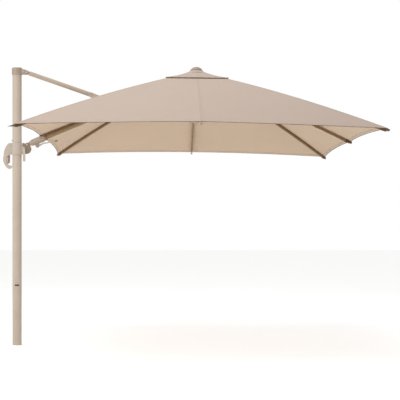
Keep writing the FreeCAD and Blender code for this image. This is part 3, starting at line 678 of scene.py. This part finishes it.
def slot_binding(strip):
    """Folded webbing sewn round the slot's edge."""
    tree = BVHTree.FromObject(strip, bpy.context.evaluated_depsgraph_get())
    path, sides, ups = [], [], []
    outline = slot_outline(SLOT_HALF + 0.006, 20)
    stations = []  # the outline with its two straight sides cut into short steps
    for k, point in enumerate(outline):
        after = outline[(k + 1) % len(outline)]
        steps = 12 if math.dist(point, after) > 0.2 else 1
        for j in range(steps):
            share = j / steps
            stations.append([a + (b - a) * share for a, b in zip(point, after)])
    for k, (x, y) in enumerate(stations):
        hit = tree.ray_cast(LEAN @ Vector((x, y, 3.0)), LEAN_TURN @ Vector((0, 0, -1)))
        before, after = stations[k - 1], stations[(k + 1) % len(stations)]
        way = Vector((after[0] - before[0], after[1] - before[1], 0)).normalized()
        up = hit[1] if hit[1].z > 0 else -hit[1]
        side = way.cross(up).normalized()
        path.append(UPRIGHT @ hit[0] - up * 0.0008)
        sides.append(side)
        ups.append(up)
    section = rounded(0.009, 0.0026)
    rings = [[p + a * x + b * y for x, y in section] for p, a, b in zip(path, sides, ups)]
    piece = loft("slot_binding", rings, M_STRAP, "boom", closed=True)
    return piece


mast_side = mast_side_cloth()
slot_binding(mast_side)
cut_slot(mast_side)


# ---- vent tier ----
for azimuth in BODIES:
    kite("vent_" + SIDES[azimuth], VENT, azimuth, 8, 14, "vent_canopy")


def vent_cap():
    """The round top of the vent, sewn over the tier's inner edge and clamped under the finial."""
    line = VENT.lines[0]
    radii = [0.030, 0.045, 0.060, 0.075, 0.090, 0.099, 0.1015, VENT_CAP_R]
    around, vertices, faces = 48, [], []
    for layer, lift in ((0, 0.0042), (1, 0.0020)):
        for r in radii:
            doubled = 0.0006 if r > 0.0985 else 0.0
            z = float(line.z(max(r, VENT_TOP_R))) + lift + (doubled if layer == 0 else -doubled)
            for k in range(around):
                angle = 2 * math.pi * k / around
                vertices.append((CROWN_X + r * math.cos(angle), r * math.sin(angle), z))
    rings = len(radii)

    def corner(layer, ring, k):
        return (layer * rings + ring) * around + k % around

    for ring in range(rings - 1):
        for k in range(around):
            quad = [(ring, k), (ring + 1, k), (ring + 1, k + 1), (ring, k + 1)]
            faces.append([corner(0, *q) for q in quad])
            faces.append([corner(1, *q) for q in reversed(quad)])
    for k in range(around):
        faces.append([corner(0, 0, k + 1), corner(1, 0, k + 1), corner(1, 0, k), corner(0, 0, k)])
        faces.append([corner(0, rings - 1, k), corner(1, rings - 1, k),
                      corner(1, rings - 1, k + 1), corner(0, rings - 1, k + 1)])
    piece = new_piece("vent_cap", vertices, faces, [M_CLOTH_TOP], "crown")
    mesh = piece.data
    radial = [math.hypot(v.co.x - CROWN_X, v.co.y) for v in mesh.vertices]
    turned = [math.atan2(v.co.y, v.co.x - CROWN_X) * VENT_CAP_R for v in mesh.vertices]
    for label, values in (("seam", turned), ("along", radial), ("hem", [VENT_CAP_R - r for r in radial])):
        stored = mesh.attributes.new(label, "FLOAT", "POINT")
        stored.data.foreach_set("value", np.array(values, np.float32))
    woven = mesh.uv_layers.new(name="weave")
    for loop in mesh.loops:
        place = mesh.vertices[loop.vertex_index].co
        woven.data[loop.index].uv = (place.x - CROWN_X, place.y)
    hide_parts("vent_canopy")


vent_cap()


FINIAL_BASE_Z = 2.637
FINIAL_PROFILE = (  # radius and height of the domed cap
    (0.0200, 0.0002), (0.0540, 0.0002), (0.0580, 0.0010), (0.0594, 0.0034), (0.0590, 0.0062),
    (0.0558, 0.0100), (0.0515, 0.0150), (0.0465, 0.0200), (0.0410, 0.0247), (0.0340, 0.0294),
    (0.0255, 0.0330), (0.0160, 0.0353), (0.0070, 0.0362),
)


def finial():
    """The turned cap on the crown: a low dome over a rolled rim."""
    rings = [[Vector((CROWN_X + r * math.cos(a), r * math.sin(a), FINIAL_BASE_Z + z))
              for a in np.linspace(0, 2 * math.pi, 64, endpoint=False)] for r, z in FINIAL_PROFILE]
    piece = loft("finial_cap", rings, M_FINIAL, "crown")
    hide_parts("finial")


# ---- rib pockets and ties ----
def line_frame(azimuth, r):
    """The point over a rib at radius r, its way down the slope and its upward normal."""
    line = MAIN.lines[azimuth]
    here, further = float(line.z(r)), float(line.z(r + 0.01))
    out = outward(azimuth)
    point = Vector((CROWN_X, 0, here)) + out * r
    way = (out * 0.01 + Vector((0, 0, further - here))).normalized()
    return point, way, lateral(azimuth).cross(way).normalized() * -1


POCKET_RINGS = (  # from the rib's tip: how far out, how far below the cloth, half width, half height
    (-0.050, 0.0200, 0.0100, 0.0148), (-0.046, 0.0200, 0.0108, 0.0158), (-0.024, 0.0190, 0.0106, 0.0150),
    (-0.014, 0.0165, 0.0104, 0.0126), (0.0030, 0.0160, 0.0102, 0.0116), (0.0065, 0.0155, 0.0088, 0.0104),
)
LONG_POCKET_RINGS = POCKET_RINGS[:4] + (  # the free front corner's pocket stands out further
    (0.0110, 0.0125, 0.0094, 0.0082), (0.0180, 0.0105, 0.0074, 0.0054),
)
LONG_POCKET_AT = 315
TIE_AT = (0.52, 0.78)  # shares of a rib's length
TIE_DEPTH, TIE_HALF_WIDE, TIE_HALF_HIGH = 0.0192, 0.0098, 0.0170
TAIL_RINGS = (  # the loose end of the strap at the front corner by the mast
    (-0.020, 0.0125, 0.0112, 0.0062), (0.004, 0.0120, 0.0112, 0.0070), (0.030, 0.0100, 0.0098, 0.0058),
    (0.046, 0.0070, 0.0085, 0.0034), (0.058, 0.0045, 0.0070, 0.0018), (0.066, 0.0040, 0.0060, 0.0012),
)
TAIL_AT = 225


def pocket(azimuth, label, profile, material):
    """A sewn sleeve or strap on a rib's tip."""
    rings = []
    tip = MAIN.reach(azimuth)
    for out, below, half_wide, half_high in profile:
        point, way, up = line_frame(azimuth, tip + min(out, 0))
        point = point + way * max(out, 0) - up * below
        side = lateral(azimuth)
        rings.append([point + side * x + up * y for x, y in rounded(half_wide, half_high, 3.5)])
    piece = loft(label + SIDES[azimuth], rings, material, BODIES[azimuth])


def ties(azimuth):
    """Webbing loops that hold the cloth down on a rib."""
    vertices, faces = [], []
    for share in TIE_AT:
        point, way, up = line_frame(azimuth, MAIN.reach(azimuth) * share)
        rings = []
        for out in (-0.011, -0.010, 0.010, 0.011):
            trim = 0.0003 if abs(out) > 0.0105 else 0.0
            section = rounded(TIE_HALF_WIDE - trim, TIE_HALF_HIGH - trim, 6.0)
            rings.append([point + way * out - up * TIE_DEPTH + lateral(azimuth) * x + up * y
                          for x, y in section])
        faces += ring_faces(len(rings), len(rings[0]), base=len(vertices))
        vertices += [p for ring in rings for p in ring]
    piece = new_piece("ties_" + SIDES[azimuth], vertices, faces, [M_TIE], BODIES[azimuth])


finial()
for azimuth in RIBS:
    # the back and front middle pockets take the light pocket cloth; the others take the dark webbing,
    # painted shade on the ribs that lie in shadow
    pocket(azimuth, "pocket_", LONG_POCKET_RINGS if azimuth == LONG_POCKET_AT else POCKET_RINGS,
           M_POCKET if azimuth in (90, 270) else M_STRAP)
    ties(azimuth)
pocket(TAIL_AT, "strap_tail_", TAIL_RINGS, M_STRAP)

# ---- finishes of the CAD nodes ----
slots = {row["node"]: row["material_slot"] for row in frame["record"]["subparts"]}
for name, node in frame["nodes"].items():
    for place in node.material_slots:
        place.material = OWN_FINISHES.get(name, FINISHES[slots[name]])


# ---- studio ----
def area_light(name, at, towards, size, power):
    data = bpy.data.lights.new(name, "AREA")
    data.shape, data.size, data.energy = "DISK", size, power
    lamp = bpy.data.objects.new(name, data)
    lamp.location = at
    lamp.rotation_euler = (Vector(towards) - Vector(at)).to_track_quat("-Z", "Y").to_euler()
    bpy.context.scene.collection.objects.link(lamp)


def studio():
    """The pale floor, the soft light and the camera at the photograph's angle."""
    floor_mesh = bpy.data.meshes.new("floor")
    r = FLOOR_REACH
    floor_mesh.from_pydata([(-r, -r, 0), (r, -r, 0), (r, r, 0), (-r, r, 0)], [], [[0, 1, 2, 3]])
    s = Shader("floor")
    at = s.add("TexCoord").outputs["Object"]
    tone = s.mix(s.ramp(s.noise(at, 0.8), 0.3, 0.7), [0.90, 0.90, 0.90, 1], [0.92, 0.92, 0.92, 1])
    matt = principled(s, tone, 0.9, s.bump(s.noise(at, 40.0), 0.0005),
                      **{"Emission Color": (1, 1, 1, 1), "Emission Strength": FLOOR_GLOW})
    floor_mesh.materials.append(s.show(matt))
    floor = bpy.data.objects.new("floor", floor_mesh)
    bpy.context.scene.collection.objects.link(floor)

    world = bpy.data.worlds.new("studio")
    world.use_nodes = True
    nodes, links = world.node_tree.nodes, world.node_tree.links
    nodes.clear()
    seen, lit = nodes.new("ShaderNodeBackground"), nodes.new("ShaderNodeBackground")
    seen.inputs["Color"].default_value = (1, 1, 1, 1)
    seen.inputs["Strength"].default_value = 1.0
    lit.inputs["Color"].default_value = (1.0, 0.995, 0.985, 1)
    lit.inputs["Strength"].default_value = FILL_LIGHT
    path, mixed = nodes.new("ShaderNodeLightPath"), nodes.new("ShaderNodeMixShader")
    out = nodes.new("ShaderNodeOutputWorld")
    links.new(path.outputs["Is Camera Ray"], mixed.inputs[0])
    links.new(lit.outputs[0], mixed.inputs[1])
    links.new(seen.outputs[0], mixed.inputs[2])
    links.new(mixed.outputs[0], out.inputs["Surface"])
    bpy.context.scene.world = world

    area_light("key", (-3.5, -6.5, 4.2), (1.0, 0, 2.0), 3.0, 150)
    area_light("top", (0.4, -1.2, 6.5), (1.7, 0, 2.4), 5.0, 130)
    area_light("side", (-5.5, -2.5, 1.6), (0.0, 0, 1.5), 2.5, 60)
    bpy.context.scene.view_settings.view_transform = "Standard"

    lens = bpy.data.cameras.new("camera")
    lens.lens, lens.shift_x, lens.shift_y = CAMERA_LENS, *CAMERA_SHIFT
    camera = bpy.data.objects.new("camera", lens)
    camera.location = CAMERA_AT
    camera.rotation_euler = (math.pi / 2, 0, 0)
    bpy.context.scene.collection.objects.link(camera)
    bpy.context.scene.camera = camera


studio()
